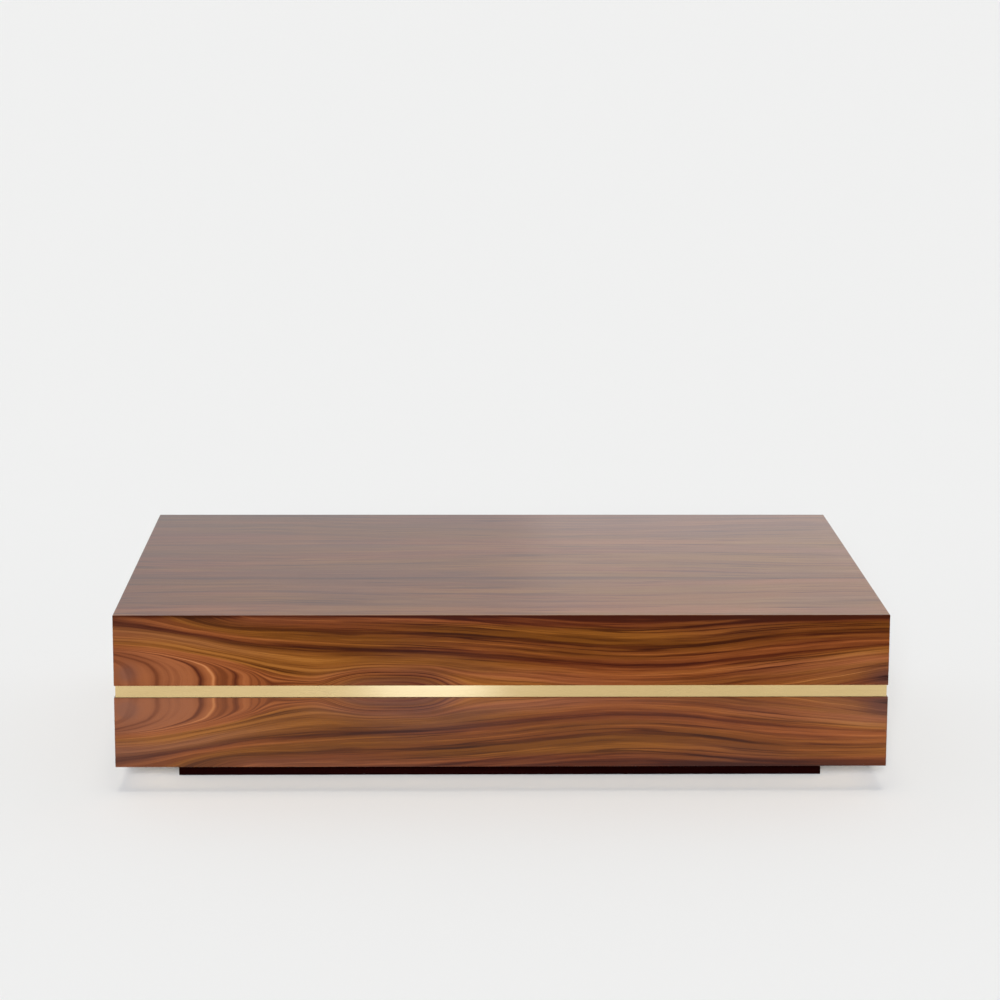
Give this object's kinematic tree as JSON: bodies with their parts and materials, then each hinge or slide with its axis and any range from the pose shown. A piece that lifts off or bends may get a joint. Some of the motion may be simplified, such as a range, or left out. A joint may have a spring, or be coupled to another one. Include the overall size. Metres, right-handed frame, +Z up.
{
  "type": "coffee table",
  "caption": "Low rectangular coffee table: a veneered hollow block split all round by a recessed brass band, on a set-back plinth with levelling feet.",
  "frame": {"origin": "centre of the footprint, on the floor", "axes": "+X along the length, +Z up, -Y is the front"},
  "size_m": [1.5, 1, 0.353],
  "materials": {
    "veneer": "satin lacquer over figured dark veneer",
    "lipping": "satin lacquer over solid wood",
    "board_core": "raw fibreboard",
    "plywood": "raw birch plywood",
    "softwood": "planed softwood",
    "plinth_wood": "dark brown stain, matt",
    "brass": "satin, lightly brushed along its length",
    "steel": "zinc plated",
    "foot_plastic": "moulded nylon",
    "tape": "acrylic foam tape"
  },
  "bodies": {
    "table": {"base_cleats": "softwood", "base_panel": "plywood", "base_screws": "steel", "brass_band_back": "brass", "brass_band_front": "brass", "brass_band_left": "brass", "brass_band_right": "brass", "brass_bonding_tape": "tape", "cross_rib_left": "plywood", "cross_rib_middle": "plywood", "cross_rib_right": "plywood", "foot_inserts": "steel", "long_rib_back": "plywood", "long_rib_front": "plywood", "lower_back_board": "board_core", "lower_back_veneer": "veneer", "lower_base_lipping": "lipping", "lower_corner_blocks": "softwood", "lower_front_board": "board_core", "lower_front_veneer": "veneer", "lower_left_board": "board_core", "lower_left_veneer": "veneer", "lower_right_board": "board_core", "lower_right_veneer": "veneer", "lower_top_lipping": "lipping", "plinth_back": "plinth_wood", "plinth_cross_rails": "plinth_wood", "plinth_foot_blocks": "plinth_wood", "plinth_front": "plinth_wood", "plinth_left": "plinth_wood", "plinth_right": "plinth_wood", "plinth_screws": "steel", "splice_batten_back": "plywood", "splice_batten_front": "plywood", "splice_batten_left": "plywood", "splice_batten_right": "plywood", "top_cleats": "softwood", "top_panel": "board_core", "top_veneer_leaf_1": "veneer", "top_veneer_leaf_2": "veneer", "top_veneer_leaf_3": "veneer", "upper_back_board": "board_core", "upper_back_veneer": "veneer", "upper_corner_blocks": "softwood", "upper_front_board": "board_core", "upper_front_veneer": "veneer", "upper_left_board": "board_core", "upper_left_veneer": "veneer", "upper_lipping": "lipping", "upper_right_board": "board_core", "upper_right_veneer": "veneer"},
    "pad_front_left": {"foot_pad_front_left": "foot_plastic"},
    "stem_front_left": {"foot_stem_front_left": "steel"},
    "pad_front_right": {"foot_pad_front_right": "foot_plastic"},
    "stem_front_right": {"foot_stem_front_right": "steel"},
    "pad_back_left": {"foot_pad_back_left": "foot_plastic"},
    "stem_back_left": {"foot_stem_back_left": "steel"},
    "pad_back_right": {"foot_pad_back_right": "foot_plastic"},
    "stem_back_right": {"foot_stem_back_right": "steel"}
  },
  "joints": [
    {"name": "foot_front_left_slide", "type": "slide", "parent": "table", "child": "pad_front_left", "axis": [0, 0, -1], "range_m": [0, 0.0125]},
    {"name": "foot_front_left_turn", "type": "hinge", "parent": "pad_front_left", "child": "stem_front_left", "pos_m": [-0.5815, -0.3315, 0.02], "axis": [0, 0, -1], "range_deg": [0, 2880]},
    {"name": "foot_front_right_slide", "type": "slide", "parent": "table", "child": "pad_front_right", "axis": [0, 0, -1], "range_m": [0, 0.0125]},
    {"name": "foot_front_right_turn", "type": "hinge", "parent": "pad_front_right", "child": "stem_front_right", "pos_m": [0.5815, -0.3315, 0.02], "axis": [0, 0, -1], "range_deg": [0, 2880]},
    {"name": "foot_back_left_slide", "type": "slide", "parent": "table", "child": "pad_back_left", "axis": [0, 0, -1], "range_m": [0, 0.0125]},
    {"name": "foot_back_left_turn", "type": "hinge", "parent": "pad_back_left", "child": "stem_back_left", "pos_m": [-0.5815, 0.3315, 0.02], "axis": [0, 0, -1], "range_deg": [0, 2880]},
    {"name": "foot_back_right_slide", "type": "slide", "parent": "table", "child": "pad_back_right", "axis": [0, 0, -1], "range_m": [0, 0.0125]},
    {"name": "foot_back_right_turn", "type": "hinge", "parent": "pad_back_right", "child": "stem_back_right", "pos_m": [0.5815, 0.3315, 0.02], "axis": [0, 0, -1], "range_deg": [0, 2880]}
  ],
  "couplings": [
    {"joint": "foot_front_left_slide", "follows": "foot_front_left_turn", "m_per_rad": 0.00023873},
    {"joint": "foot_front_right_slide", "follows": "foot_front_right_turn", "m_per_rad": 0.00023873},
    {"joint": "foot_back_left_slide", "follows": "foot_back_left_turn", "m_per_rad": 0.00023873},
    {"joint": "foot_back_right_slide", "follows": "foot_back_right_turn", "m_per_rad": 0.00023873}
  ]
}
